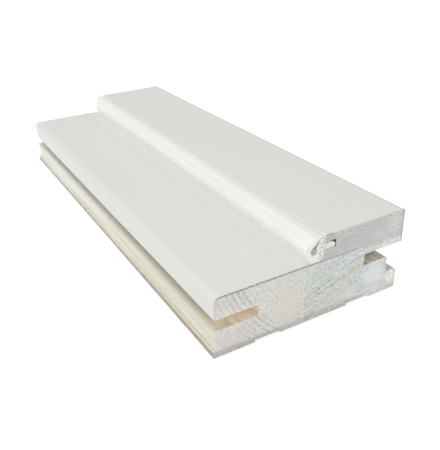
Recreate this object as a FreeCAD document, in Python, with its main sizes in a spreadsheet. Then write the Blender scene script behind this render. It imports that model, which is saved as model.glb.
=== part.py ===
import FreeCAD, Part
import os
import Sketcher

# A short sample of a rebated timber door frame member, lying on its back.
# Sections are drawn in the XZ plane, with X measured from the white rebate edge on the left
# and Z from the back. The member runs along Y, half of its length each way.

DRIVING_SIZES = {
    # the member as a whole
    "member_length": 268.0,
    "overall_width": 100.0,
    "overall_height": 41.1,
    "film_thickness": 0.5,
    # the rebate that takes the door leaf
    "rebate_width": 53.5,
    "stop_rise": 11.9,
    "rebate_arris_radius": 3.0,
    "stop_arris_radius": 1.8,
    "outer_arris_radius": 1.0,
    # the two edge-glued staves of the base
    "glue_joint_from_left": 44.5,
    # the slot in the left edge, for an extension board
    "slot_floor": 13.4,
    "slot_opening": 5.2,
    "slot_depth": 21.0,
    # the heel, which stands proud along the back of the left edge
    "heel_reach": 1.3,
    "heel_height": 3.4,
    "heel_arris_radius": 0.6,
    # the moulded right edge, for a casing
    "overhang_thickness": 4.8,
    "groove_opening": 5.8,
    "groove_depth": 22.2,
    "lip_setback": 8.1,
    "lip_height": 8.1,
    "nose_setback": 1.4,
    "lip_radius": 0.8,
    "nose_top_radius": 1.6,
    "nose_back_radius": 1.2,
    # the two shallow relief grooves in the back
    "relief_depth": 1.0,
    "left_relief_from_left": 19.2,
    "left_relief_width": 12.7,
    "right_relief_from_right": 17.8,
    "right_relief_width": 13.3,
    # the kerf in the stop face that holds the seal
    "kerf_above_rebate": 5.1,
    "kerf_opening": 3.4,
    "kerf_depth": 6.4,
    # the barbed foot of the seal
    "barb_end_clearance": 0.4,
    "barb_wall_clearance": 0.05,
    "stem_thickness": 1.5,
    "fin_length": 1.5,
    "fin_root_thickness": 0.7,
    "fin_pitch": 2.4,
    # the hollow bulb of the seal
    "bulb_belly_reach": 7.1,
    "bulb_shoulder_setback": 2.2,
    "bulb_toe_setback": 0.5,
    "bulb_floor_gap": 1.1,
    "bulb_top_gap": 0.5,
    "bulb_belly_height": 5.2,
    "bulb_shoulder_radius": 2.0,
    "bulb_belly_radius": 3.0,
    "bulb_toe_radius": 1.2,
    "bulb_wall": 1.4,
    "bulb_back_wall": 2.3,
    "cavity_corner_radius": 0.5,
    # the seat, where the back of the bulb comes down to the rebate floor
    "seat_reach": 3.2,
    "seat_clearance": 0.05,
}

# Places that follow from the driving sizes.
DERIVED_SIZES = {
    "left_face": "heel_reach / 2 - overall_width / 2",
    "rebate_floor": "overall_height - stop_rise",
    "base_thickness": "rebate_floor - film_thickness",
    "stop_top": "overall_height - film_thickness",
    "stop_face": "rebate_width + film_thickness",
    "right_face": "overall_width - film_thickness",
    "slot_ceiling": "slot_floor + slot_opening",
    "groove_ceiling": "rebate_floor - overhang_thickness",
    "groove_floor": "groove_ceiling - groove_opening",
    "ledge_height": "groove_floor - lip_height",
    "groove_wall": "overall_width - groove_depth",
    "lip_face": "overall_width - lip_setback",
    "nose_face": "overall_width - nose_setback",
    "right_relief_end": "overall_width - right_relief_from_right",
    "kerf_floor": "rebate_floor + kerf_above_rebate",
    "kerf_ceiling": "kerf_floor + kerf_opening",
    "kerf_middle": "kerf_floor + kerf_opening / 2",
    "kerf_end": "stop_face + kerf_depth",
    "barb_tip": "kerf_end - barb_end_clearance",
    "fin_reach": "kerf_opening / 2 - barb_wall_clearance",
    "bulb_bottom": "rebate_floor + bulb_floor_gap",
    "bulb_top": "overall_height - bulb_top_gap",
    "bulb_belly": "bulb_bottom + bulb_belly_height",
    "bulb_shoulder_reach": "bulb_belly_reach - bulb_shoulder_setback",
    "bulb_toe_reach": "bulb_belly_reach - bulb_toe_setback",
    "bulb_seat": "rebate_floor + seat_clearance",
}

# How far an outline that cuts inwards from a face starts outside that face.
CUT_START = 2.0
# How near an edge has to lie to the corner that it is looked for at.
EDGE_TOLERANCE = 0.001

doc = FreeCAD.newDocument("DoorFrameSample")
sheet = doc.addObject("Spreadsheet::Sheet", "Sizes")
contents = {alias: str(size) for alias, size in DRIVING_SIZES.items()}
contents.update({alias: "=" + formula for alias, formula in DERIVED_SIZES.items()})
for row, (alias, content) in enumerate(contents.items(), start=1):
    sheet.set(f"A{row}", alias.replace("_", " "))
    sheet.set(f"B{row}", content)
    sheet.setAlias(f"B{row}", alias)
doc.recompute()


def value_of(formula):
    """The number that a formula on the sheet's aliases comes to."""
    return float(sheet.evalExpression(formula))


def bound(formula):
    """The same formula as an object outside the sheet has to write it."""
    words = formula.split(" ")
    return " ".join(f"Sizes.{word}" if word in contents else word for word in words)


def new_body(name):
    """An empty body, placed so that the member is centred with its heel."""
    body = doc.addObject("PartDesign::Body", name)
    body.Label = name
    body.setExpression("Placement.Base.x", bound("left_face"))
    return body


def section(body, name, corners):
    """A closed outline in the XZ plane, with the X and Z of each corner tied to a formula."""
    sketch = body.newObject("Sketcher::SketchObject", name)
    plane = next(p for p in body.Origin.OriginFeatures if p.Role == "XZ_Plane")
    sketch.AttachmentSupport = [(plane, "")]
    sketch.MapMode = "FlatFace"
    points = [FreeCAD.Vector(value_of(x), value_of(z), 0) for x, z in corners]
    count = len(points)
    for line in range(count):
        sketch.addGeometry(Part.LineSegment(points[line], points[(line + 1) % count]), False)
    for line in range(count):
        sketch.addConstraint(Sketcher.Constraint("Coincident", line, 2, (line + 1) % count, 1))
    for line, (x, z) in enumerate(corners):
        for kind, formula in (("DistanceX", x), ("DistanceY", z)):
            size = value_of(formula)
            tie = sketch.addConstraint(Sketcher.Constraint(kind, -1, 1, line, 1, size))
            sketch.setExpression(f"Constraints[{tie}]", bound(formula))
    return sketch


def extrude(body, kind, name, corners):
    """A pad or a pocket of an outline, through the whole length of the member."""
    feature = body.newObject(kind, name)
    feature.Profile = section(body, name + "_section", corners)
    feature.SideType = "Symmetric"
    feature.setExpression("Length", bound("member_length"))
    doc.recompute()


def pad(body, name, corners):
    extrude(body, "PartDesign::Pad", name, corners)


def pocket(body, name, corners):
    volume_before = body.Shape.Volume
    extrude(body, "PartDesign::Pocket", name, corners)
    if body.Shape.Volume >= volume_before:
        raise RuntimeError(f"{name} cuts nothing from {body.Label}")


def rectangle(left, bottom, right, top):
    return [(left, bottom), (right, bottom), (right, top), (left, top)]


def lengthwise_edges(shape, x, z):
    """Names of the edges that run along the member through one corner of its section."""
    names = []
    for number, edge in enumerate(shape.Edges, start=1):
        ends = [vertex.Point for vertex in edge.Vertexes]
        at_corner = all(abs(p.x - x) < EDGE_TOLERANCE and abs(p.z - z) < EDGE_TOLERANCE for p in ends)
        if at_corner and len(ends) == 2:
            names.append(f"Edge{number}")
    return names


def round_corner(body, name, x, z, radius):
    """Rounds the lengthwise edge at one corner of the section."""
    edges = lengthwise_edges(body.Shape, value_of(x) + value_of("left_face"), value_of(z))
    if not edges:
        raise RuntimeError(f"{name} finds no edge on {body.Label}")
    last_feature = body.Tip
    fillet = body.newObject("PartDesign::Fillet", name)
    fillet.Base = (last_feature, edges)
    fillet.setExpression("Radius", bound(radius))
    doc.recompute()


def make_rabbet_stave():
    """The left stave: the rebate's bed, slotted in its edge and relieved on its back.

    Its edge is flush with the film below the slot, and steps out to the heel at the back.
    """
    body = new_body("rabbet_stave")
    pad(body, "stave_blank", [
        ("0 - heel_reach", "0"),
        ("glue_joint_from_left", "0"),
        ("glue_joint_from_left", "base_thickness"),
        ("film_thickness", "base_thickness"),
        ("film_thickness", "slot_floor"),
        ("0", "slot_floor"),
        ("0", "heel_height"),
        ("0 - heel_reach", "heel_height"),
    ])
    pocket(body, "extension_slot", rectangle(f"0 - {CUT_START}", "slot_floor", "slot_depth", "slot_ceiling"))
    pocket(body, "left_relief", rectangle(
        "left_relief_from_left", f"0 - {CUT_START}",
        "left_relief_from_left + left_relief_width", "relief_depth"))
    round_corner(body, "rebate_arris", "film_thickness", "base_thickness",
                 "rebate_arris_radius - film_thickness")
    round_corner(body, "heel_arris", "0 - heel_reach", "0", "heel_arris_radius")
    return body


def make_outer_stave():
    """The right stave: an overhang, a groove below it, a lip, a ledge and a rounded nose."""
    body = new_body("outer_stave")
    pad(body, "stave_blank", rectangle("glue_joint_from_left", "0", "right_face", "base_thickness"))
    outside = f"overall_width + {CUT_START}"
    pocket(body, "casing_groove", rectangle("groove_wall", "groove_floor", outside, "groove_ceiling"))
    pocket(body, "lip_rebate", rectangle("lip_face", "ledge_height", outside, "groove_floor"))
    pocket(body, "nose_trim", rectangle("nose_face", f"0 - {CUT_START}", outside, "ledge_height"))
    pocket(body, "right_relief", rectangle(
        "right_relief_end - right_relief_width", f"0 - {CUT_START}",
        "right_relief_end", "relief_depth"))
    round_corner(body, "lip_corner", "lip_face", "groove_floor", "lip_radius")
    round_corner(body, "nose_top_corner", "nose_face", "ledge_height", "nose_top_radius")
    round_corner(body, "nose_back_corner", "nose_face", "0", "nose_back_radius")
    return body


def make_stop_strip():
    """The stop, glued on the outer stave, with a kerf for the seal in its face."""
    body = new_body("stop_strip")
    pad(body, "strip_blank", rectangle("stop_face", "base_thickness", "right_face", "stop_top"))
    pocket(body, "seal_kerf", rectangle(
        f"stop_face - {CUT_START}", "kerf_floor", "kerf_end", "kerf_ceiling"))
    round_corner(body, "stop_arris", "stop_face", "stop_top", "stop_arris_radius - film_thickness")
    round_corner(body, "outer_arris", "right_face", "stop_top", "outer_arris_radius - film_thickness")
    return body


def make_rabbet_film():
    """The white film from the slot's upper edge, over the rebate and up to the kerf."""
    body = new_body("rabbet_film")
    pad(body, "film_strip", [
        ("0", "slot_ceiling"),
        ("film_thickness", "slot_ceiling"),
        ("film_thickness", "base_thickness"),
        ("stop_face", "base_thickness"),
        ("stop_face", "kerf_floor"),
        ("rebate_width", "kerf_floor"),
        ("rebate_width", "rebate_floor"),
        ("0", "rebate_floor"),
    ])
    round_corner(body, "outer_bend", "0", "rebate_floor", "rebate_arris_radius")
    round_corner(body, "inner_bend", "film_thickness", "base_thickness",
                 "rebate_arris_radius - film_thickness")
    return body


def make_stop_film():
    """The white film from the kerf, over the stop and down the edge of the overhang."""
    body = new_body("stop_film")
    pad(body, "film_strip", [
        ("rebate_width", "kerf_ceiling"),
        ("stop_face", "kerf_ceiling"),
        ("stop_face", "stop_top"),
        ("right_face", "stop_top"),
        ("right_face", "groove_ceiling"),
        ("overall_width", "groove_ceiling"),
        ("overall_width", "overall_height"),
        ("rebate_width", "overall_height"),
    ])
    for side, x, inner_x, radius in (
            ("stop", "rebate_width", "stop_face", "stop_arris_radius"),
            ("outer", "overall_width", "right_face", "outer_arris_radius")):
        round_corner(body, f"{side}_outer_bend", x, "overall_height", radius)
        round_corner(body, f"{side}_inner_bend", inner_x, "stop_top", f"{radius} - film_thickness")
    return body


def make_bulb_seal():
    """The seal: a hollow bulb in front of the stop face, on a barbed foot in the kerf."""
    body = new_body("bulb_seal")
    pad(body, "bulb", [
        ("rebate_width", "bulb_seat"),
        ("rebate_width", "bulb_top"),
        ("rebate_width - bulb_shoulder_reach", "bulb_top"),
        ("rebate_width - bulb_belly_reach", "bulb_belly"),
        ("rebate_width - bulb_toe_reach", "bulb_bottom"),
        ("rebate_width - seat_reach", "bulb_seat"),
    ])
    round_corner(body, "shoulder", "rebate_width - bulb_shoulder_reach", "bulb_top",
                 "bulb_shoulder_radius")
    round_corner(body, "belly", "rebate_width - bulb_belly_reach", "bulb_belly", "bulb_belly_radius")
    round_corner(body, "toe", "rebate_width - bulb_toe_reach", "bulb_bottom", "bulb_toe_radius")
    cavity_back = "rebate_width - bulb_back_wall"
    cavity_front = "rebate_width - bulb_belly_reach + bulb_wall"
    cavity_bottom = "bulb_bottom + bulb_wall"
    cavity = [
        (cavity_back, cavity_bottom),
        (cavity_back, "bulb_top - bulb_wall"),
        (cavity_front, "bulb_belly"),
        (cavity_front + " + cavity_corner_radius", cavity_bottom),
    ]
    pocket(body, "cavity", cavity)
    for number, (x, z) in enumerate(cavity, start=1):
        round_corner(body, f"cavity_corner_{number}", x, z, "cavity_corner_radius")
    pad(body, "stem", rectangle(
        "rebate_width", "kerf_middle - stem_thickness / 2",
        "barb_tip", "kerf_middle + stem_thickness / 2"))
    for number in range(2):
        root = f"barb_tip - {number} * fin_pitch"
        for side, sign in (("upper", "+"), ("lower", "-")):
            stem_side = f"kerf_middle {sign} stem_thickness / 2"
            pad(body, f"{side}_fin_{number + 1}", [
                (root, "kerf_middle"),
                (root, stem_side),
                (f"{root} - fin_length", f"kerf_middle {sign} fin_reach"),
                (f"{root} - fin_root_thickness", stem_side),
                (f"{root} - fin_root_thickness", "kerf_middle"),
            ])
    return body


bodies = [
    make_rabbet_stave(),
    make_outer_stave(),
    make_stop_strip(),
    make_rabbet_film(),
    make_stop_film(),
    make_bulb_seal(),
]
doc.recompute()

for item in doc.Objects:
    faults = {"Invalid", "Error"} & set(item.State)
    if faults:
        raise RuntimeError(f"{item.Label} is {', '.join(sorted(faults))}")

for body in bodies:
    shape = body.Shape
    if shape.isNull() or not shape.isValid() or len(shape.Solids) != 1:
        raise RuntimeError(f"{body.Label} is not one valid solid")

os.makedirs("parts", exist_ok=True)
for body in bodies:
    body.Shape.exportStep(f"parts/{body.Label}.step")
    box = body.Shape.BoundBox
    print(f"{body.Label}: {body.Shape.Volume / 1000:.1f} cm3, "
          f"X {box.XMin:.2f} to {box.XMax:.2f}, Z {box.ZMin:.2f} to {box.ZMax:.2f}")
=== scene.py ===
import math

import bpy
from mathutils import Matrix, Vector
from mathutils.geometry import tessellate_polygon


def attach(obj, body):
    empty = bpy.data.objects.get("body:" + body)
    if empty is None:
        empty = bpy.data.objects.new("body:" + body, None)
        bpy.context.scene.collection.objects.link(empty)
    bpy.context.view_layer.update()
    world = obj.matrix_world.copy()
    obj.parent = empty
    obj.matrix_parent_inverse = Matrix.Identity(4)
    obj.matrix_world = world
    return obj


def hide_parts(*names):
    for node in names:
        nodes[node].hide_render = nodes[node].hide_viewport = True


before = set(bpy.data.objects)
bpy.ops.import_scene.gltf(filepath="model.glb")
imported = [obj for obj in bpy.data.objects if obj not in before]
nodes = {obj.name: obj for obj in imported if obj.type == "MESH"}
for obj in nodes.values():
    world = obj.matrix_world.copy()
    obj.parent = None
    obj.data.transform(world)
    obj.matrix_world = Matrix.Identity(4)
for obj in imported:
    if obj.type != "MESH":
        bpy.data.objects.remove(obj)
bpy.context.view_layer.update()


# The rebate stave: the left half of the base, a stave of pine that lies under the door leaf.
# It is planed raw, slotted in its edge for an extension board and relieved on its back, and a
# heel stands proud along its lower edge. The two ends are sawn, so they are rough and torn.

MM = 0.001
# Where the white face of the rebate edge lies. Every x below is measured from that face, and
# every z from the back. All lengths are in millimetres.
LEFT_FACE = -49.35
BASE_TOP = 28.7
JOINT = 44.5
RELIEF_DEPTH = 1.0
HEEL_TOP = 3.4
SLOT_FLOOR, SLOT_CEILING, SLOT_END = 13.4, 18.6, 21.0
# The torn fibres on a sawn end: how thick they are across the rings, and how far they run in.
TEAR_THICKNESS, TEAR_RUN = 0.34, 30.0

BACK_GREY = (0.68, 0.68, 0.67)
EDGE_NEAR, EDGE_FAR = (0.70, 0.685, 0.565), (0.765, 0.765, 0.675)
RUDDY_GRAIN = (0.73, 0.655, 0.575)
HEEL_NEAR, HEEL_FAR = (0.42, 0.385, 0.32), (0.50, 0.485, 0.435)
HEEL_STEP = (0.75, 0.66, 0.58)
SLOT_DARK, SLOT_LIGHT, SLOT_DEEP = (0.80, 0.72, 0.58), (0.98, 0.90, 0.79), (1.0, 0.87, 0.75)
SLOT_FARTHER_IN = (0.77, 0.76, 0.70)
MOUTH_NEAR, MOUTH_FAR = (0.70, 0.675, 0.55), (0.72, 0.725, 0.665)
PATCH_BROWN = (0.58, 0.48, 0.35)


class Term:
    """A socket of a node tree. Arithmetic on it adds Math nodes to the tree."""

    def __init__(self, tree, socket):
        self.tree = tree
        self.socket = socket

    def __add__(self, other):
        return self.tree.maths("ADD", self, other)

    __radd__ = __add__

    def __sub__(self, other):
        return self.tree.maths("SUBTRACT", self, other)

    def __rsub__(self, other):
        return self.tree.maths("SUBTRACT", other, self)

    def __mul__(self, other):
        return self.tree.maths("MULTIPLY", self, other)

    __rmul__ = __mul__

    def __truediv__(self, other):
        return self.tree.maths("DIVIDE", self, other)

    def __abs__(self):
        return self.tree.maths("ABSOLUTE", self)

    def fade(self, start, end):
        """0 on start's side, 1 on end's side, and a soft step between the two."""
        return self.tree.node(
            "ShaderNodeMapRange", {"interpolation_type": "SMOOTHSTEP"},
            {"Value": self, "From Min": start, "From Max": end})

    def within(self, low, high, soft):
        """1 between low and high, and fading to 0 over soft on either side."""
        return self.fade(low - soft, low + soft) * self.fade(high + soft, high - soft)

    def at_least(self, least):
        """A mask whose 1 stays, and whose 0 becomes least."""
        return least + (1 - least) * self


class Tree:
    """A tree of nodes, for a material or for a shape."""

    def __init__(self, node_tree):
        self.node_tree = node_tree

    def node(self, kind, settings, sockets, output=0):
        """Adds one node: its settings first, then a number or a link for each socket named."""
        added = self.node_tree.nodes.new(kind)
        for name, setting in settings.items():
            setattr(added, name, setting)
        for name, term in sockets.items():
            socket = added.inputs[name]
            if isinstance(term, Term):
                self.node_tree.links.new(term.socket, socket)
            elif socket.type == "RGBA":
                socket.default_value = (*term, 1.0)
            else:
                socket.default_value = term
        return Term(self, added.outputs[output]) if added.outputs else None

    def maths(self, operation, *terms):
        return self.node("ShaderNodeMath", {"operation": operation}, dict(enumerate(terms)))

    def vector(self, operation, *terms):
        return self.node("ShaderNodeVectorMath", {"operation": operation}, dict(enumerate(terms)))

    def parts(self, vector):
        return [self.node("ShaderNodeSeparateXYZ", {}, {0: vector}, axis) for axis in range(3)]


class Finish(Tree):
    """One material, and where a spot lies on the member, in millimetres."""

    def __init__(self, name):
        self.material = bpy.data.materials.new(name)
        self.material.use_nodes = True
        super().__init__(self.material.node_tree)
        self.node_tree.nodes.clear()
        place = self.node("ShaderNodeTexCoord", {}, {}, "Object")
        self.spot = self.vector(
            "MULTIPLY_ADD", place, (1 / MM, 1 / MM, 1 / MM), (-LEFT_FACE, 0.0, 0.0))
        self.x, self.y, self.z = self.parts(self.spot)
        facing = self.node("ShaderNodeNewGeometry", {}, {}, "Normal")
        facing_y, self.facing_z = self.parts(facing)[1:]
        # 1 on the two cut ends, which face along the member.
        self.sawn = abs(facing_y).fade(0.6, 0.8)

    def blend(self, share, first, second):
        """The first colour where share is 0 and the second where it is 1."""
        return self.node(
            "ShaderNodeMix", {"data_type": "RGBA"}, {0: share, 6: first, 7: second}, 2)

    def shade(self, colour, strength):
        """The colour made darker or lighter by a factor that changes over the surface."""
        grey = self.node("ShaderNodeCombineColor", {}, {0: strength, 1: strength, 2: strength})
        return self.node(
            "ShaderNodeMix", {"data_type": "RGBA", "blend_type": "MULTIPLY"},
            {0: 1.0, 6: colour, 7: grey}, 2)

    def noise(self, place, detail, roughness):
        return self.node("ShaderNodeTexNoise", {}, {
            "Vector": place, "Scale": 1.0, "Detail": detail, "Roughness": roughness})

    def grain(self, size, detail=2.0, roughness=0.5, along=1.0):
        """Noise of that size in millimetres, drawn out along the member by a factor."""
        place = self.vector("MULTIPLY", self.spot, (1 / size, 1 / (size * along), 1 / size))
        return self.noise(place, detail, roughness)

    def unevenness(self, size, reach):
        """A length that wanders by half of reach either way."""
        return (self.grain(size, detail=3.0) - 0.5) * reach

    def patch(self, x, z, half_width, half_height):
        """A ragged, soft-edged blot on the section."""
        across = (self.x - x) / half_width
        up = (self.z - z) / half_height
        reach = self.maths("SQRT", across * across + up * up)
        return (reach + self.unevenness(2.5, 0.7)).fade(1.25, 0.45)

    def close(self, colour, roughness, bump, depth, **constants):
        """Ends the tree in one shader, with the bump's depth in millimetres."""
        normal = self.node(
            "ShaderNodeBump", {}, {"Strength": 1.0, "Distance": depth * MM, "Height": bump})
        shader = self.node("ShaderNodeBsdfPrincipled", {}, {
            "Base Color": colour, "Roughness": roughness, "Normal": normal, **constants})
        self.node("ShaderNodeOutputMaterial", {}, {"Surface": shader})
        return self.material


def dress(node, material):
    """Gives a node this one material all over."""
    node.data.materials.clear()
    node.data.materials.append(material)


def pine(name, pith, distance):
    """A pine piece's tree, with rings round a pith that is about that distance away."""
    wood = Finish(name)
    across = wood.x - pith[0]
    up = wood.z - pith[1]
    wood.radius = wood.maths("SQRT", across * across + up * up)
    around = wood.maths("ARCTAN2", up, across) * distance
    along_ring = wood.node("ShaderNodeCombineXYZ", {}, {
        0: wood.radius / TEAR_THICKNESS, 1: around, 2: wood.y / TEAR_RUN})
    wood.dashes = wood.noise(along_ring, 2.0, 0.6)
    wood.specks = wood.grain(0.42, detail=1.0, along=20.0)
    wood.fibres = wood.grain(0.45, detail=3.0, roughness=0.6, along=60.0)
    return wood


def sawn_end(wood, colour, blots, calm_spots, spacing, ring_depth, tear_depth, dark_rings):
    """The colour of a sawn end: blots of tone, then rings, bands of late wood and torn fibres.

    A blot is a spot, its colour and its strength, and on a calm spot the grain is muted. A
    spot is its x and z, half its width and half its height. A dark ring is its radius, half
    its width, the first and last x where it shows, and its depth.
    """
    for spot, tint, strength in blots:
        colour = wood.blend(wood.patch(*spot) * strength, colour, tint)
    lively = 1.0
    for spot, strength in calm_spots:
        lively = (1 - wood.patch(*spot) * strength) * lively
    drift = (wood.grain(16.0, along=8.0) - 0.5) * 1.2
    turn = wood.maths("FRACT", (wood.radius + drift) / spacing)
    late_wood = turn.fade(0.25, 0.85) * turn.fade(1.0, 0.92)
    broken = wood.grain(4.0, roughness=0.6, along=8.0).fade(0.40, 0.62)
    colour = wood.shade(colour, 1 - late_wood * broken.at_least(0.25) * lively * ring_depth)
    for radius, half_width, first_x, last_x, depth in dark_rings:
        off = abs(wood.radius + wood.unevenness(3.0, 0.8) - radius)
        band = off.fade(half_width * 1.8, half_width * 0.3) * wood.x.within(first_x, last_x, 1.5)
        colour = wood.shade(colour, 1 - band * wood.dashes.fade(0.62, 0.42).at_least(0.4) * depth)
    light = wood.dashes.fade(0.52, 0.68)
    dark = wood.dashes.fade(0.46, 0.30)
    bright_specks = wood.specks.fade(0.60, 0.70)
    torn = light * 0.55 - dark + bright_specks * 0.5
    return wood.shade(colour, 1 + torn * lively * tear_depth)


def darker_foot(wood, reach, top, full):
    """A mask of the darker lower edge of a sawn end, from its uneven top to where it is full."""
    return (wood.z + wood.unevenness(1.6, reach)).fade(top, full)


def planed_side(wood, colour, figure_depth):
    """The colour of a planed long face: fine fibres, and a broader figure of rings cut along."""
    figure = wood.grain(2.2, roughness=0.55, along=40.0)
    return wood.shade(
        colour, 1 + (wood.fibres - 0.5) * 0.16 + (figure - 0.5) * figure_depth)


def milled(wood, size, dark, light):
    """The mottled colour of the freshly milled wood in a slot or a groove."""
    return wood.blend(wood.grain(size, roughness=0.6, along=3.0).fade(0.38, 0.62), dark, light)


def grey_back(wood, colour):
    """The colour, but a plain grey over the back and the relief grooves in it."""
    low = wood.z.fade(RELIEF_DEPTH + 0.8, RELIEF_DEPTH + 0.2)
    return wood.blend(wood.facing_z.fade(-0.6, -0.9) * low, colour, BACK_GREY)


def close_pine(wood, end, side):
    """Joins the end and the sides in one finish, with the sawn end the rougher."""
    fuzz = wood.dashes * 0.6 + wood.specks * 0.4
    return wood.close(
        wood.blend(wood.sawn, side, end), 0.70 + 0.14 * wood.specks,
        fuzz * wood.sawn + wood.fibres * (1 - wood.sawn) * 0.6, depth=0.18)


stave = pine("rebate_pine", pith=(72.0, 54.0), distance=70.0)
end = sawn_end(
    stave, (0.665, 0.655, 0.615),
    blots=[
        ((9.0, 26.5, 9.0, 3.0), (0.57, 0.63, 0.57), 0.6),
        ((8.0, 6.5, 9.0, 5.5), (0.64, 0.61, 0.595), 0.6),
        ((18.5, 5.0, 6.0, 3.5), (0.715, 0.69, 0.655), 0.7),
        ((24.5, 21.5, 5.0, 5.0), (0.64, 0.67, 0.61), 0.6),
        ((37.0, 13.0, 9.5, 13.0), (0.66, 0.64, 0.59), 0.7),
        ((40.0, 14.5, 2.6, 3.0), (0.71, 0.63, 0.565), 0.55),
        ((34.0, 19.5, 3.0, 2.5), (0.66, 0.655, 0.55), 0.5),
        ((22.6, 15.6, 1.6, 3.0), (0.74, 0.725, 0.53), 0.6),
        ((10.0, 19.5, 9.0, 1.0), (0.83, 0.745, 0.68), 0.5),
        ((12.0, 12.5, 9.0, 1.1), (0.78, 0.72, 0.63), 0.5)],
    calm_spots=[((35.0, 10.5, 8.0, 10.5), 0.65), ((10.0, 6.5, 9.0, 5.0), 0.45)],
    spacing=2.3, ring_depth=0.11, tear_depth=0.38,
    dark_rings=[
        (66.4, 0.38, 8.0, 29.0, 0.26), (68.9, 0.38, 5.0, 28.0, 0.26),
        (64.2, 0.35, 12.0, 30.0, 0.16), (71.2, 0.35, 2.0, 26.0, 0.16),
        (73.3, 0.35, 1.0, 24.0, 0.14), (75.6, 0.35, 1.0, 20.0, 0.12)])
under_film = stave.z.fade(BASE_TOP - 0.7, BASE_TOP - 0.1)
by_joint = stave.x.fade(JOINT - 1.0, JOINT - 0.2)
# The end is made darker towards its foot.
darker_low = darker_foot(stave, reach=1.2, top=4.2, full=1.9)
darker_low = darker_low * (0.27 - 0.06 * stave.x.fade(28.0, 38.0))
end = stave.shade(end, (0.975 + 0.06 * by_joint) * (1 - 0.30 * under_film) * (1 - darker_low))

side = stave.blend(stave.y.fade(-130.0, 90.0), EDGE_NEAR, EDGE_FAR)
ruddy = stave.grain(2.6, detail=1.0, along=22.0).fade(0.56, 0.68) * stave.y.fade(40.0, -60.0)
side = stave.blend(0.55 * ruddy, side, RUDDY_GRAIN)
streaks = stave.grain(0.9, along=70.0).fade(0.38, 0.60)
# Painted light brightens the face just over the heel, where the corner is shaded, and painted
# shade darkens its middle a little near the cut end.
painted_light_over_heel = stave.z.fade(6.6, 4.0)
painted_shade_in_middle = stave.z.within(6.5, 10.0, 1.0) * stave.y.fade(0.0, -60.0)
tone = 0.868 + 0.17 * streaks + 0.11 * painted_light_over_heel - 0.03 * painted_shade_in_middle
side = planed_side(stave, stave.shade(side, tone), figure_depth=0.20)
on_heel = stave.z.fade(HEEL_TOP + 0.1, HEEL_TOP - 0.2) * stave.x.fade(0.4, -0.2)
side = stave.blend(on_heel, side, stave.blend(stave.y.fade(-110.0, 20.0), HEEL_NEAR, HEEL_FAR))
mottled = stave.grain(1.5, roughness=0.6, along=5.0).fade(0.35, 0.65) * on_heel
side = stave.shade(side, 1.03 - 0.28 * mottled)
# The heel's upward step is tinted brown: partly the wood's ruddy streaks, partly painted shade
# over a step that faces the light from above.
on_step = stave.z.within(HEEL_TOP, HEEL_TOP + 0.9, 0.1) * stave.x.fade(0.7, 0.1)
side = stave.blend(on_step * (0.15 + 0.5 * ruddy), side, HEEL_STEP)
below_slot = stave.z.fade(SLOT_FLOOR - 3.0, SLOT_FLOOR + 0.2) * stave.x.fade(0.6, 0.0)
side = stave.shade(side, 1 - 0.20 * below_slot)

# The slot is fresh and warm beside the cut end, and greyer farther in and at its mouth.
in_slot = stave.z.within(SLOT_FLOOR - 0.1, SLOT_CEILING + 0.1, 0.05)
in_slot = in_slot * stave.x.fade(SLOT_END + 0.2, SLOT_END - 0.1)
fresh = milled(stave, 2.2, SLOT_DARK, SLOT_LIGHT)
fresh = stave.blend(0.6 * stave.x.fade(10.0, 15.0), fresh, SLOT_DEEP)
fresh = stave.blend(stave.y.fade(-124.0, -104.0), fresh, SLOT_FARTHER_IN)
mouth = stave.blend(stave.y.fade(-120.0, 20.0), MOUTH_NEAR, MOUTH_FAR)
slot_colour = stave.blend(stave.x.fade(1.5, 4.5), mouth, fresh)
# A darker brown patch lies in the slot just inside the cut end.
darkened = stave.x.within(4.5, 8.0, 1.5) * stave.y.fade(-127.0, -131.0)
slot_colour = stave.blend(0.4 * darkened, slot_colour, PATCH_BROWN)
side = grey_back(stave, stave.blend(in_slot, side, slot_colour))
dress(nodes["rabbet_stave"], close_pine(stave, end, side))


# The outer stave: the right half of the base, edge-glued to the first. It carries the stop,
# hangs over the casing groove and steps down past a lip and a ledge to a rounded nose. Its rings
# run the other way, and its sawn end is bluer.

GROOVE_FLOOR, GROOVE_CEILING, GROOVE_WALL = 18.6, 24.4, 77.8
LEDGE_TOP, LIP_FACE = 10.5, 91.9

OUTER_SIDE = (0.74, 0.69, 0.56)
GROOVE_DARK, GROOVE_LIGHT = (0.68, 0.60, 0.51), (0.92, 0.81, 0.71)
GROOVE_SPECKLED, GROOVE_SHADE = (0.90, 0.865, 0.81), (0.20, 0.185, 0.17)
LEDGE_GREY = (0.68, 0.705, 0.64)

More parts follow.
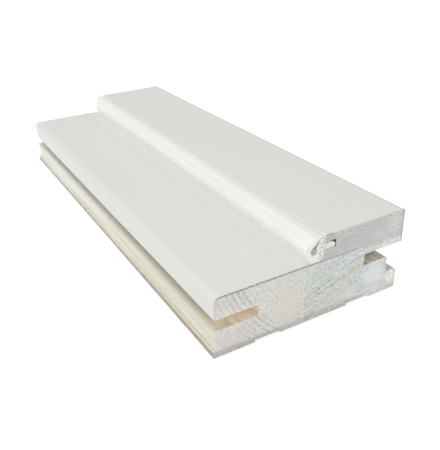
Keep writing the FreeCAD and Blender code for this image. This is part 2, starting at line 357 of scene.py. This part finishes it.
stave = pine("outer_pine", pith=(104.6, -118.0), distance=140.0)
end = sawn_end(
    stave, (0.61, 0.63, 0.60),
    blots=[
        ((84.0, 12.0, 7.0, 6.0), (0.72, 0.765, 0.745), 0.9),
        ((50.0, 4.0, 8.0, 4.0), (0.65, 0.625, 0.59), 0.7),
        ((55.0, 20.5, 7.0, 4.0), (0.55, 0.61, 0.57), 0.5),
        ((72.0, 11.0, 6.0, 3.0), (0.59, 0.64, 0.605), 0.5),
        ((71.0, 6.5, 5.0, 3.5), (0.69, 0.70, 0.68), 0.8),
        ((89.0, 8.5, 5.0, 2.5), (0.75, 0.775, 0.755), 0.7),
        ((62.0, 24.0, 4.0, 3.0), (0.61, 0.62, 0.65), 0.5),
        ((72.0, 18.0, 5.0, 2.5), (0.62, 0.63, 0.54), 0.5),
        ((87.0, 17.9, 5.5, 0.9), (0.80, 0.71, 0.64), 0.8),
        ((95.0, 6.5, 3.5, 4.5), (0.86, 0.86, 0.82), 0.85),
        ((76.6, 21.5, 1.1, 3.0), (0.68, 0.66, 0.56), 0.8),
        ((72.0, 26.5, 9.0, 2.2), (0.60, 0.66, 0.67), 0.7),
        ((93.0, 26.0, 9.0, 2.2), (0.72, 0.745, 0.74), 0.9),
        ((85.0, 3.0, 12.0, 2.8), (0.735, 0.71, 0.715), 0.9),
        ((64.0, 3.0, 6.0, 3.0), (0.65, 0.64, 0.65), 0.7)],
    calm_spots=[
        ((84.0, 12.0, 6.5, 6.0), 0.85), ((87.0, 8.0, 6.0, 4.0), 0.55),
        ((56.0, 21.0, 5.0, 3.5), 0.5), ((66.0, 8.0, 6.0, 5.0), 0.5)],
    spacing=3.1, ring_depth=0.10, tear_depth=0.50,
    dark_rings=[
        (140.3, 0.36, 44.0, 77.5, 0.38), (143.2, 0.36, 44.0, 60.0, 0.38),
        (144.6, 0.30, 64.0, 77.0, 0.22), (134.3, 0.40, 44.0, 56.0, 0.26),
        (146.6, 0.25, 78.0, 100.0, 0.16), (148.2, 0.25, 60.0, 100.0, 0.16),
        (150.0, 0.30, 52.0, 96.0, 0.18)])
under_stop = stave.z.fade(BASE_TOP - 0.8, BASE_TOP - 0.1) * stave.x.fade(78.0, 66.0)
# The end is made darker towards its foot.
darker_low = darker_foot(stave, reach=1.4, top=4.4, full=2.0)
darker_low = darker_low * (1 - 0.85 * stave.x.fade(74.0, 82.0))
end = stave.shade(end, 0.965 * (1 - 0.25 * under_stop) * (1 - 0.16 * darker_low))

side = planed_side(stave, OUTER_SIDE, figure_depth=0.12)
in_groove = stave.z.within(GROOVE_FLOOR - 0.1, GROOVE_CEILING + 0.1, 0.05)
in_groove = in_groove * stave.x.fade(GROOVE_WALL - 0.4, GROOVE_WALL + 0.1)
groove_colour = milled(stave, 2.4, GROOVE_DARK, GROOVE_LIGHT)
specks = stave.grain(0.9, roughness=0.6, along=1.5).fade(0.42, 0.60)
speckled = stave.shade(GROOVE_SPECKLED, 1 - 0.5 * specks)
groove_colour = stave.blend(0.85 * stave.x.fade(84.5, 87.0), groove_colour, speckled)
# Painted shade: the groove is darkened towards its inner wall and farther in from the cut end.
groove_shade = stave.maths("MAXIMUM", stave.x.fade(81.0, 78.2), stave.y.fade(-129.5, -125.0))
groove_colour = stave.blend(0.8 * groove_shade, groove_colour, GROOVE_SHADE)
side = stave.blend(in_groove, side, groove_colour)
on_ledge = stave.z.within(LEDGE_TOP - 0.5, LEDGE_TOP + 0.5, 0.2)
on_ledge = on_ledge * stave.x.fade(LIP_FACE - 0.4, LIP_FACE + 0.1)
side = grey_back(stave, stave.blend(on_ledge, side, LEDGE_GREY))
dress(nodes["outer_stave"], close_pine(stave, end, side))


# The stop strip: a third strip of pine, glued on the outer stave. Its end is a plainer,
# warmer grey, with close rings that lie almost flat, and a dark glue line under it.

KERF_FLOOR, KERF_CEILING, KERF_END = 34.3, 37.7, 60.4

STRIP_SIDE = (0.74, 0.68, 0.54)
GLUE_GREY = (0.28, 0.30, 0.33)
KERF_SHADE = (0.24, 0.21, 0.18)

strip = pine("stop_pine", pith=(40.0, -180.0), distance=216.0)
end = sawn_end(
    strip, (0.525, 0.515, 0.508),
    blots=[
        ((57.0, 31.5, 5.0, 3.0), (0.50, 0.47, 0.45), 0.7),
        ((57.5, 39.5, 4.0, 2.0), (0.47, 0.465, 0.455), 0.7),
        ((66.0, 34.0, 4.0, 3.5), (0.49, 0.475, 0.47), 0.8),
        ((76.0, 33.0, 5.0, 2.5), (0.535, 0.525, 0.55), 0.6),
        ((86.0, 32.0, 7.0, 3.0), (0.565, 0.585, 0.57), 0.7),
        ((74.0, 38.5, 7.0, 1.6), (0.50, 0.48, 0.475), 0.6),
        ((95.0, 36.0, 6.0, 6.5), (0.605, 0.595, 0.595), 0.85)],
    calm_spots=[((86.0, 36.0, 14.0, 5.0), 0.5)],
    spacing=1.7, ring_depth=0.10, tear_depth=0.38, dark_rings=[])
glue = strip.z.fade(BASE_TOP + 0.8, BASE_TOP + 0.2) * strip.x.fade(80.0, 68.0).at_least(0.25)
end = strip.blend(0.6 * glue, end, GLUE_GREY)
# Painted shade: the walls of the kerf, round the seal's foot, are a dark brown.
in_kerf = strip.z.within(KERF_FLOOR - 0.1, KERF_CEILING + 0.1, 0.05)
in_kerf = in_kerf * strip.x.fade(KERF_END + 0.4, KERF_END + 0.1)
side = strip.blend(in_kerf, planed_side(strip, STRIP_SIDE, figure_depth=0.12), KERF_SHADE)
dress(nodes["stop_strip"], close_pine(strip, end, side))


# The white films: a foil half a millimetre thick, wrapped hot round the rebate and round the
# stop in two runs that both end in the kerf. It is satin, and where the saw went through it its
# core shows as a thin grey line. Painted shade darkens it towards the seal, low on its left face
# and along the outer arris of the stop, and painted light lifts it near the left arris.

REBATE_FLOOR, STOP_FACE, OUTER_FACE = 29.2, 53.5, 100.0
MEMBER_END = 134.0

FILM_WHITE = (0.714, 0.702, 0.675)
FILM_CORE = (0.15, 0.15, 0.14)
LIGHT_BY_SEAL = (0.26, 0.26, 0.26)


def white_film(name):
    """A film's tree, with its colour, its orange peel and how ragged its core shows."""
    film = Finish(name)
    film.peel = film.grain(1.1)
    film.ragged = film.grain(1.1, detail=3.0, roughness=0.7).fade(0.28, 0.60).at_least(0.35)
    clouds = film.grain(60.0)
    # Painted shade darkens the outer arris of the stop, and the film is a little darker beside
    # each cut end.
    outer_edge = film.x.fade(OUTER_FACE - 1.6, OUTER_FACE - 1.1)
    cut_edge = abs(film.y).fade(MEMBER_END - 0.8, MEMBER_END - 0.3)
    # Painted shade darkens the left face low down, and painted light lifts the film near the left
    # arris.
    low_on_left = film.x.fade(1.2, 0.4) * film.z.fade(28.0, 25.5)
    darkened = outer_edge * 0.26 + cut_edge * 0.07 + low_on_left * 0.075
    lifted_on_left = film.x.fade(6.0, 2.0) * 0.015
    film.colour = film.shade(FILM_WHITE, 0.985 + 0.03 * clouds + lifted_on_left - darkened)
    return film


def close_film(film, core_shows, **constants):
    """Joins the film's face and the edge that the saw cut in one finish."""
    colour = film.blend(film.sawn * core_shows, film.colour, FILM_CORE)
    return film.close(
        colour, 0.36 + 0.08 * film.peel, film.peel * (1 - film.sawn), depth=0.012, **constants)


film = white_film("rebate_film")
# Painted shade: the film is darkened towards the seal.
film.colour = film.shade(film.colour, 1 - 0.07 * film.x.fade(30.0, 41.0))
core_shows = film.z.fade(REBATE_FLOOR + 1.0, REBATE_FLOOR + 0.2)
core_shows = core_shows * film.x.fade(0.1, 2.0).at_least(0.35) * film.ragged
# Some light comes through the soft white seal on to the film beside it.
glow = film.shade(LIGHT_BY_SEAL, film.x.fade(45.8, 49.2) * (1 - film.sawn))
dress(nodes["rabbet_film"], close_film(
    film, core_shows, **{"Emission Color": glow, "Emission Strength": 1.0}))

film = white_film("stop_film")
on_top = film.x.fade(STOP_FACE + 1.0, STOP_FACE + 2.0) * film.x.fade(59.0, 58.0).at_least(0.30)
on_edge = film.x.fade(OUTER_FACE - 1.4, OUTER_FACE - 0.8)
core_shows = film.maths("MAXIMUM", on_top * film.ragged, on_edge)
dress(nodes["stop_film"], close_film(film, core_shows))


# The bulb seal: a white extrusion of soft rubber, a hollow bulb on a barbed foot. The foot is
# pushed into the kerf and holds by its fins. The saw dragged the bulb's near end outwards and
# pinched its far end in, and the cut faces are speckled with torn crumbs.

# Each corner at rest, and the same corner at the near cut end.
BULB_OUTSIDE = [
    ((53.48, 40.6), (53.48, 40.85)), ((52.4, 40.6), (52.7, 41.06)),
    ((51.0, 40.6), (51.5, 41.06)), ((49.9, 40.5), (50.3, 40.95)),
    ((48.9, 40.05), (49.0, 40.65)), ((48.2, 39.2), (47.5, 39.8)),
    ((47.6, 38.0), (46.1, 38.8)), ((47.0, 36.8), (44.7, 37.7)),
    ((46.6, 35.6), (43.45, 36.6)), ((46.5, 34.4), (43.5, 35.6)),
    ((46.6, 33.2), (44.6, 34.1)), ((46.9, 32.2), (45.6, 32.8)),
    ((47.4, 31.2), (46.3, 31.5)), ((48.1, 30.3), (47.1, 30.4)),
    ((48.9, 29.6), (48.3, 29.75)), ((49.8, 29.35), (49.6, 29.4)),
    ((50.9, 29.32), (50.9, 29.32)), ((52.6, 29.3), (52.6, 29.3)),
    ((53.3, 29.33), (53.3, 29.33)), ((53.48, 29.9), (53.48, 29.9)),
]
# The foot isn't pulled by the saw, so it has each corner once.
FOOT_OUTSIDE = [
    (53.48, 31.6), (53.48, 33.4), (53.55, 34.32), (54.4, 34.37), (55.6, 34.37), (56.8, 34.37),
    (57.6, 34.5), (58.4, 34.37), (59.3, 34.42), (59.8, 34.9), (59.85, 35.8), (59.4, 36.5),
    (58.6, 36.85), (57.9, 36.9), (57.3, 37.3), (56.7, 37.45), (56.2, 37.0), (55.6, 37.15),
    (54.9, 37.5), (54.2, 37.35), (53.7, 37.6), (53.48, 38.1), (53.48, 38.8), (53.48, 39.6),
]
BULB_INSIDE = [
    ((51.0, 39.0), (51.6, 39.9)), ((51.1, 37.9), (51.1, 38.4)),
    ((51.0, 36.4), (50.5, 37.1)), ((51.1, 34.4), (50.4, 35.5)),
    ((51.0, 32.3), (50.4, 33.8)), ((49.8, 31.2), (49.3, 33.1)),
    ((48.9, 31.8), (47.9, 33.2)), ((48.1, 33.4), (47.0, 34.3)),
    ((47.9, 35.3), (46.8, 35.5)), ((48.3, 36.2), (47.6, 36.6)),
    ((49.2, 37.2), (48.8, 37.5)), ((50.3, 38.4), (50.4, 39.1)),
]
CURVE_STEPS = 4
# How much of the near end's pull shows at the far end, where it is turned inwards.
FAR_FLARE = -0.5
# The free side of the bulb lies left of this x, and sways fully this far beyond it.
FREE_FROM, FREE_REACH = 52.0, 5 * MM
SLOW_SWAY, QUICK_SWAY = 31 * MM, 11 * MM

SEAL_WHITE = (0.77, 0.77, 0.75)
SEAL_LIGHT = (0.09, 0.09, 0.089)
CRUMB_GREY = (0.20, 0.20, 0.19)


def smooth_loop(corners):
    """A closed curve through the corners, CURVE_STEPS points to each side."""
    count = len(corners)
    loop = []
    for place in range(count):
        before, start, end, after = (Vector(corners[(place + k) % count]) for k in (-1, 0, 1, 2))
        for step in range(CURVE_STEPS):
            t = step / CURVE_STEPS
            loop.append(
                0.5 * (2 * start + (end - before) * t
                       + (2 * before - 5 * start + 4 * end - after) * t ** 2
                       + (3 * start - before - 3 * end + after) * t ** 3))
    return loop


def flat_section():
    """The seal's section at rest, once for each cut end and filled in the shape it takes there.

    Each point keeps how far the saw pulls it, and which end it belongs to.
    """
    outside = BULB_OUTSIDE + [(corner, corner) for corner in FOOT_OUTSIDE]
    rest, cut = (
        [smooth_loop([pair[state] for pair in pairs]) for pairs in (outside, BULB_INSIDE)]
        for state in (0, 1))
    points = rest[0] + rest[1]
    shifts = [at_cut - at_rest for at_rest, at_cut in zip(points, cut[0] + cut[1])]
    corners, pulls, triangles = [], [], []
    for flare in (1.0, FAR_FLARE):
        ending = [
            [Vector((*(at_rest + (at_cut - at_rest) * flare), 0.0))
             for at_rest, at_cut in zip(*loops)]
            for loops in zip(rest, cut)]
        order = 1 if flare > 0 else -1
        for triangle in tessellate_polygon(ending):
            triangles.append([corner + len(corners) for corner in triangle[::order]])
        corners += points
        pulls += shifts
    mesh = bpy.data.meshes.new("seal_section")
    mesh.from_pydata([((x + LEFT_FACE) * MM, 0.0, z * MM) for x, z in corners], [], triangles)
    pull = mesh.attributes.new("cut_pull", "FLOAT_VECTOR", "POINT")
    for point, shift in zip(pull.data, pulls):
        point.vector = (shift.x * MM, 0.0, shift.y * MM)
    end = mesh.attributes.new("end", "FLOAT", "POINT")
    for number, point in enumerate(end.data):
        point.value = -1.0 if number < len(points) else 1.0
    return mesh


class Shape(Tree):
    """A Geometry Nodes tree, whose inputs are named and get their values on a modifier."""

    def __init__(self, name, inputs):
        super().__init__(bpy.data.node_groups.new(name, "GeometryNodeTree"))
        interface = self.node_tree.interface
        interface.new_socket("Geometry", in_out="INPUT", socket_type="NodeSocketGeometry")
        interface.new_socket("Geometry", in_out="OUTPUT", socket_type="NodeSocketGeometry")
        self.values = {}
        for label, (kind, value) in inputs.items():
            socket = interface.new_socket(label, in_out="INPUT", socket_type="NodeSocket" + kind)
            self.values[socket.identifier] = value
        self.group = self.node_tree.nodes.new("NodeGroupInput")

    def given(self, label):
        return Term(self, self.group.outputs[label])

    def attribute(self, name, kind):
        return self.node(
            "GeometryNodeInputNamedAttribute", {"data_type": kind}, {"Name": name}, "Attribute")

    def keep(self, geometry, name, kind, value):
        return self.node(
            "GeometryNodeStoreNamedAttribute", {"data_type": kind, "domain": "POINT"},
            {"Geometry": geometry, "Name": name, "Value": value})

    def finish(self, geometry, material):
        """Ends the tree in plain geometry of one material."""
        real = self.node("GeometryNodeRealizeInstances", {}, {"Geometry": geometry})
        coloured = self.node(
            "GeometryNodeSetMaterial", {}, {"Geometry": real, "Material": material})
        self.node("NodeGroupOutput", {}, {"Geometry": coloured})

    def grow(self, name, mesh):
        """The tree run on a mesh, as a plain mesh object with no modifier left."""
        piece = bpy.data.objects.new(name, mesh)
        bpy.context.scene.collection.objects.link(piece)
        modifier = piece.modifiers.new("grow", "NODES")
        modifier.node_group = self.node_tree
        for identifier, value in self.values.items():
            modifier[identifier] = value
        depsgraph = bpy.context.evaluated_depsgraph_get()
        grown = bpy.data.meshes.new_from_object(piece.evaluated_get(depsgraph))
        grown.name = name
        helpers = [item.name for item in grown.attributes if item.domain == "POINT"]
        for helper in set(helpers) - {"position"}:
            grown.attributes.remove(grown.attributes[helper])
        piece.modifiers.clear()
        piece.data = grown
        return piece


def swept_seal(rubber):
    """The section swept along the member, with both of its cut ends flared."""
    shape = Shape("swept_seal", {
        "Length": ("Float", 2 * MEMBER_END * MM),
        "Stations": ("Int", 48),
        "Near Flare Length": ("Float", 7.0 * MM),
        "Far Flare Length": ("Float", 5.0 * MM),
        "Far Flare": ("Float", FAR_FLARE),
        "Wave": ("Float", 0.05 * MM),
        "Rubber": ("Material", rubber),
    })
    half = shape.given("Length") * 0.5
    place = shape.node("GeometryNodeInputPosition", {}, {})
    section = shape.keep(shape.given("Geometry"), "at_rest", "FLOAT_VECTOR", place)
    end = shape.attribute("end", "FLOAT")
    caps = shape.keep(section, "along", "FLOAT", end * half)
    faces_meeting = shape.node("GeometryNodeInputMeshEdgeNeighbors", {}, {})
    on_rim = shape.maths("LESS_THAN", faces_meeting, 1.5) * shape.maths("LESS_THAN", end, 0.0)
    outline = shape.node("GeometryNodeMeshToCurve", {}, {"Mesh": section, "Selection": on_rim})

    line = shape.node("GeometryNodeCurvePrimitiveLine", {}, {"End": (0.0, 0.0, 1.0)})
    line = shape.node(
        "GeometryNodeResampleCurve", {}, {"Curve": line, "Count": shape.given("Stations")})
    run = shape.node("GeometryNodeSplineParameter", {}, {}, "Factor") * 2 - 1
    # The stations stand closer together towards the two ends.
    line = shape.keep(line, "along", "FLOAT", (run * 1.5 - run * run * run * 0.5) * half)
    walls = shape.node("GeometryNodeCurveToMesh", {}, {"Curve": line, "Profile Curve": outline})
    walls = shape.node("GeometryNodeFlipFaces", {}, {"Mesh": walls})
    joined = shape.node("GeometryNodeJoinGeometry", {}, {"Geometry": caps})
    shape.node_tree.links.new(walls.socket, joined.socket.node.inputs["Geometry"])

    along = shape.attribute("along", "FLOAT")
    at_rest = shape.attribute("at_rest", "FLOAT_VECTOR")
    from_near = 1 - (along + half) / shape.given("Near Flare Length")
    from_far = 1 - (half - along) / shape.given("Far Flare Length")
    near = shape.maths("POWER", shape.maths("MAXIMUM", from_near, 0.0), 2.0)
    far = shape.maths("POWER", shape.maths("MAXIMUM", from_far, 0.0), 2.0)
    flare = near + far * shape.given("Far Flare")
    pulled = shape.node(
        "ShaderNodeVectorMath", {"operation": "SCALE"},
        {0: shape.attribute("cut_pull", "FLOAT_VECTOR"), "Scale": flare})
    slow = shape.maths("SINE", along * (1 / SLOW_SWAY))
    quick = shape.maths("SINE", along * (1 / QUICK_SWAY) + 1.0)
    free = ((FREE_FROM + LEFT_FACE) * MM - shape.parts(at_rest)[0]) * (1 / FREE_REACH)
    sway = (slow + quick * 0.7) * shape.maths("MAXIMUM", free, 0.0)
    sway = sway * (1 - near - far) * shape.given("Wave")
    moved = shape.node("ShaderNodeCombineXYZ", {}, {0: sway, 1: along})
    new_place = shape.vector("ADD", shape.vector("ADD", at_rest, pulled), moved)
    placed = shape.node(
        "GeometryNodeSetPosition", {}, {"Geometry": joined, "Position": new_place})
    welded = shape.node(
        "GeometryNodeMergeByDistance", {}, {"Geometry": placed, "Distance": 0.001 * MM})
    shape.finish(welded, shape.given("Rubber"))
    return shape.grow("bulb_and_foot", flat_section())


rubber = Finish("white_rubber")
drawn_lines = rubber.grain(0.7, along=80.0)
# Painted light: the bulb's skin is made lighter low down, where less light reaches it, than on
# its top.
top_of_bulb = rubber.z.fade(32.0, 39.5)
clouds = rubber.grain(5.0, along=6.0)
skin = rubber.shade(SEAL_WHITE, (0.98 + 0.06 * clouds) * (1.27 - 0.27 * top_of_bulb))
# Painted shade: the hollow of the bulb is darkened in its upper fold and on the wall beside the
# stop.
in_fold = rubber.x.within(49.9, 52.2, 0.3) * rubber.z.within(37.6, 39.8, 0.4)
deep_wall = rubber.x.within(49.3, 52.2, 0.3) * rubber.z.within(34.2, 37.2, 0.8)
skin = rubber.shade(skin, 1 - 0.3 * in_fold - 0.25 * deep_wall)
# The thin wall of the bulb lets light through from its far side.
light_through = rubber.z.fade(41.0, 39.0) * rubber.x.fade(50.4, 48.6) * (1 - rubber.sawn)
cut = rubber.shade(SEAL_WHITE, 0.88 + 0.22 * rubber.grain(0.6, roughness=0.6))
crumbs = rubber.grain(0.60, detail=1.0, along=20.0).fade(0.54, 0.63) * rubber.x.fade(50.6, 52.0)
cut = rubber.blend(crumbs * (0.85 - 0.45 * rubber.x.fade(54.0, 55.5)), cut, CRUMB_GREY)
rubber.close(
    rubber.blend(rubber.sawn, skin, cut), 0.48 + 0.10 * drawn_lines,
    drawn_lines * (1 - rubber.sawn), depth=0.02,
    **{"Subsurface Weight": 0.5, "Subsurface Radius": (1.0, 0.95, 0.9),
       "Subsurface Scale": 2.0 * MM,
       "Emission Color": rubber.shade(SEAL_LIGHT, light_through), "Emission Strength": 1.0})
seal = swept_seal(rubber.material)
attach(seal, "root")
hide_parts("bulb_seal")


# The studio: a plain pale floor under soft white light from the left and above. The camera
# stands where the photograph was taken from, to the left of the near cut end and above it.

CAMERA_PLACE = (-137.59, -299.13, 159.98)
CAMERA_TURN = (62.252, 1.680, -30.074)
PAPER_WHITE = (0.86, 0.86, 0.86)

camera_data = bpy.data.cameras.new("camera")
camera_data.lens = 46.866
camera_data.sensor_width = 36.0
camera_data.clip_start = 0.01
camera_data.clip_end = 50.0
camera = bpy.data.objects.new("camera", camera_data)
camera.location = Vector(CAMERA_PLACE) * MM
camera.rotation_euler = [math.radians(turn) for turn in CAMERA_TURN]
bpy.context.scene.collection.objects.link(camera)
bpy.context.scene.camera = camera

bpy.ops.mesh.primitive_circle_add(vertices=96, radius=4.0, fill_type="NGON")
floor = bpy.context.object
floor.name = "floor"
paper = Finish("floor_paper")
# The paper gives off a little light of its own, so that it stays white round the member.
dress(floor, paper.close(
    paper.shade(PAPER_WHITE, 0.99 + 0.02 * paper.grain(40.0, detail=3.0)), 0.9,
    paper.grain(0.8, detail=3.0), depth=0.02,
    **{"Emission Color": (1.0, 1.0, 1.0), "Emission Strength": 0.40}))


def soft_light(name, place, target, size, power):
    """A round panel of light, turned towards its target. Lengths are in metres."""
    lamp = bpy.data.lights.new(name, "AREA")
    lamp.shape = "DISK"
    lamp.size = size
    lamp.energy = power
    holder = bpy.data.objects.new(name, lamp)
    holder.location = place
    holder.rotation_euler = (Vector(target) - Vector(place)).to_track_quat("-Z", "Y").to_euler()
    bpy.context.scene.collection.objects.link(holder)


soft_light("sky_panel", (-0.3, 0.35, 1.6), (0.0, 0.0, 0.0), size=1.6, power=15.9)
soft_light("left_panel", (-1.3, -0.4, 0.7), (0.0, 0.0, 0.0), size=1.0, power=0.75)
soft_light("front_panel", (-0.35, -1.35, 0.75), (0.0, -0.1, 0.02), size=1.0, power=3.95)

world = bpy.data.worlds.new("studio_air")
bpy.context.scene.world = world
world.use_nodes = True
air = world.node_tree.nodes["Background"]
air.inputs["Color"].default_value = (1.0, 1.0, 1.0, 1.0)
air.inputs["Strength"].default_value = 0.5
bpy.context.scene.view_settings.view_transform = "Standard"
